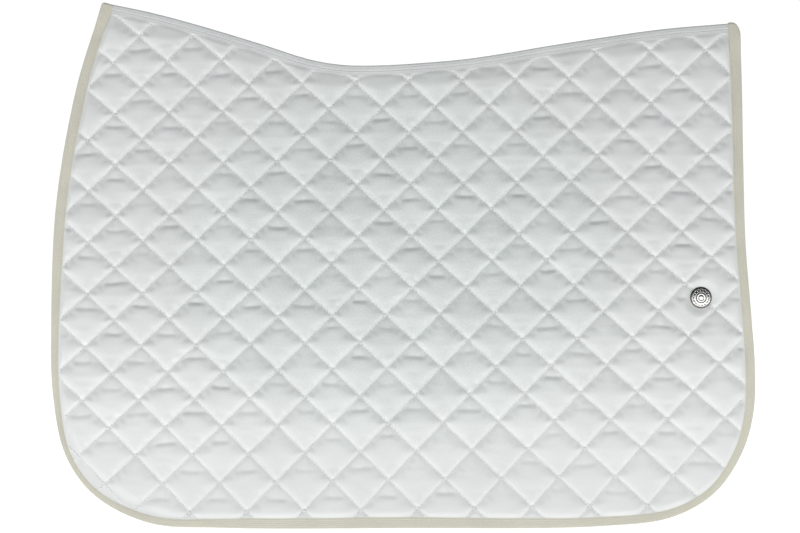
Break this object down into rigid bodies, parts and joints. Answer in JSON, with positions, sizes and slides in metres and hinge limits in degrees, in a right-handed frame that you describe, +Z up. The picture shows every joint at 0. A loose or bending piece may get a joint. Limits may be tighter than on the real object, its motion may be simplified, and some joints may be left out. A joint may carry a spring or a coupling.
{
  "type": "saddle pad",
  "caption": "Diamond-quilted saddle pad folded closed along its contoured taped spine, with webbing-bound flaps that open over a back and a metal button on the near side.",
  "frame": {"origin": "lowest point of the spine's top edge, on the middle plane of the fold", "axes": "+X along the spine from the withers to the rear, +Y towards the off side, +Z up, with the flaps hanging down"},
  "size_m": [0.6561, 0.0189, 0.489],
  "materials": {
    "cotton": "matte",
    "lining": "matte",
    "wadding": "matte",
    "tape": "matte",
    "webbing": "matte",
    "thread": "matte",
    "webbing_thread": "matte",
    "nickel": "polished"
  },
  "bodies": {
    "spine": {"near_cover_upper": "cotton", "near_batting_upper": "wadding", "near_lining_upper": "lining", "off_cover_upper": "cotton", "off_batting_upper": "wadding", "off_lining_upper": "lining", "withers_binding": "webbing", "rear_binding": "webbing", "spine_tape": "tape", "spine_under_tape": "tape", "spine_lining_tape": "tape", "spine_near_stitching": "thread", "spine_off_stitching": "thread"},
    "near_flap": {"near_cover": "cotton", "near_batting": "wadding", "near_lining": "lining", "near_binding": "webbing", "near_binding_stitching": "webbing_thread", "button_cap": "nickel", "button_centre": "nickel", "button_nail": "nickel"},
    "off_flap": {"off_cover": "cotton", "off_batting": "wadding", "off_lining": "lining", "off_binding": "webbing", "off_binding_stitching": "webbing_thread"}
  },
  "joints": [
    {"name": "near_fold", "type": "hinge", "parent": "spine", "child": "near_flap", "pos_m": [0, -0.0086, -0.015], "axis": [-1, 0, 0], "range_deg": [0, 80]},
    {"name": "off_fold", "type": "hinge", "parent": "spine", "child": "off_flap", "pos_m": [0, 0.0086, -0.015], "axis": [1, 0, 0], "range_deg": [0, 80]}
  ]
}
